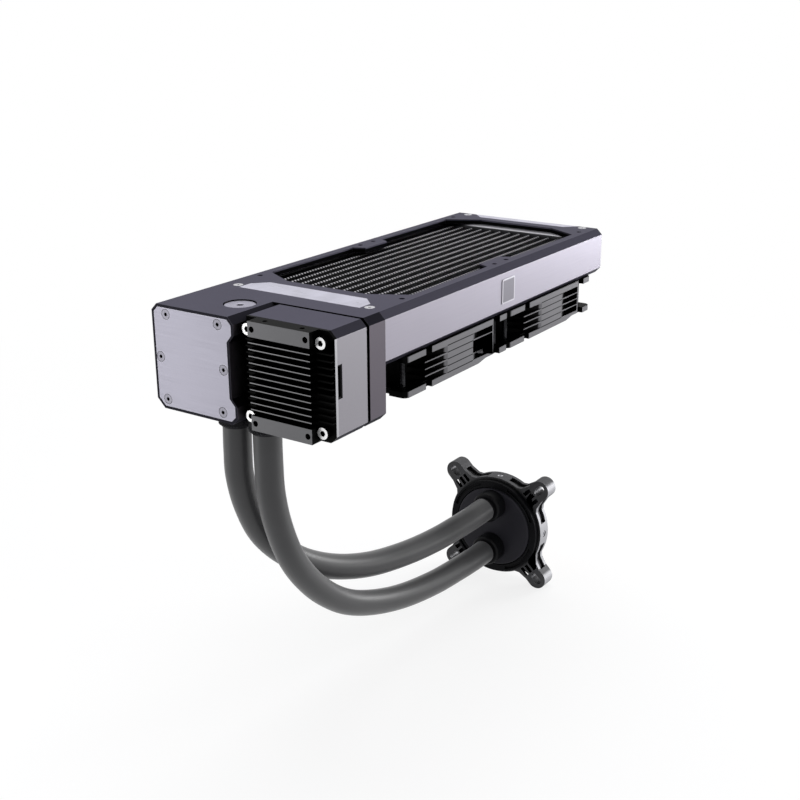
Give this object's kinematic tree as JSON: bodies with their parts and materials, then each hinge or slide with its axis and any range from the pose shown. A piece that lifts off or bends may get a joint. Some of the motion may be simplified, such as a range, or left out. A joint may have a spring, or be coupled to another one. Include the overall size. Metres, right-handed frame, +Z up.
{
  "type": "all-in-one liquid cooler",
  "caption": "Closed-loop liquid cooler: a finned radiator with fans below, a reservoir and pump block at one end, and two hoses to a round water block with a four-arm bracket.",
  "frame": {"origin": "centre of the outer rectangle of mounting holes, in the radiator's top face", "axes": "+X from the pump end to the far end, +Y across the radiator, away from the viewer's side panel, +Z up out of the top face"},
  "size_m": [0.328, 0.1245, 0.2711],
  "materials": {
    "gunmetal": "dark anodised, fine satin",
    "silver": "pale anodised, satin",
    "silver_dark": "mid-grey anodised, satin",
    "badge": "brushed plate",
    "accent": "pale satin plate",
    "black_metal": "black coat, semi-matt",
    "tube_metal": "black coat with worn bright edges",
    "bracket_metal": "dark grey satin",
    "screw_steel": "bright steel",
    "black_steel": "black oxide",
    "seal_rubber": "matt",
    "hose_rubber": "smooth black, satin",
    "black_plastic": "fine matt texture",
    "fan_plastic": "satin",
    "cap_plastic": "satin",
    "white_plastic": "smooth",
    "board": "coated board",
    "copper": "machined copper"
  },
  "bodies": {
    "cooler": {"casing": "gunmetal", "panel_front": "silver", "panel_back": "silver", "badge_plate": "badge", "near_tank": "black_metal", "far_tank": "black_metal", "core_tubes": "tube_metal", "core_fins": "black_metal", "core_plates": "black_metal", "accent_near": "accent", "accent_far": "accent", "accent_screws": "screw_steel", "manifold": "gunmetal", "cover_seal": "seal_rubber", "cover_plate": "silver", "cover_screws": "screw_steel", "filler_plug": "silver", "filler_seal": "seal_rubber", "pump_spacer": "black_plastic", "pump_housing": "gunmetal", "pump_panel": "silver_dark", "pump_socket": "black_plastic", "pump_heatsink": "black_metal", "pump_screws": "screw_steel", "pump_stator": "copper", "pump_board": "board", "pump_shaft": "screw_steel", "fan_near_frame": "black_plastic", "fan_near_motor": "black_plastic", "fan_far_frame": "black_plastic", "fan_far_motor": "black_plastic", "fan_screws": "black_steel", "port_necks": "black_steel", "collar_outer": "black_metal", "collar_inner": "black_metal", "hose_outer": "hose_rubber", "hose_inner": "hose_rubber", "block_ports": "black_plastic", "block_cap": "cap_plastic", "clamp_ring": "black_metal", "block_body": "black_plastic", "bracket": "bracket_metal", "bracket_screws": "screw_steel", "cold_plate": "copper", "plate_screws": "screw_steel"},
    "fan_near": {"fan_near_rotor": "fan_plastic", "fan_near_shaft": "screw_steel"},
    "fan_far": {"fan_far_rotor": "fan_plastic", "fan_far_shaft": "screw_steel"},
    "pump": {"pump_impeller": "white_plastic"}
  },
  "joints": [
    {"name": "fan_near_spin", "type": "hinge", "parent": "cooler", "child": "fan_near", "pos_m": [-0.06, 0, -0.0446], "axis": [0, 0, 1], "continuous": true},
    {"name": "fan_far_spin", "type": "hinge", "parent": "cooler", "child": "fan_far", "pos_m": [0.06, 0, -0.0446], "axis": [0, 0, 1], "continuous": true},
    {"name": "pump_spin", "type": "hinge", "parent": "cooler", "child": "pump", "pos_m": [-0.165, -0.032, -0.03115], "axis": [1, 0, 0], "continuous": true}
  ]
}
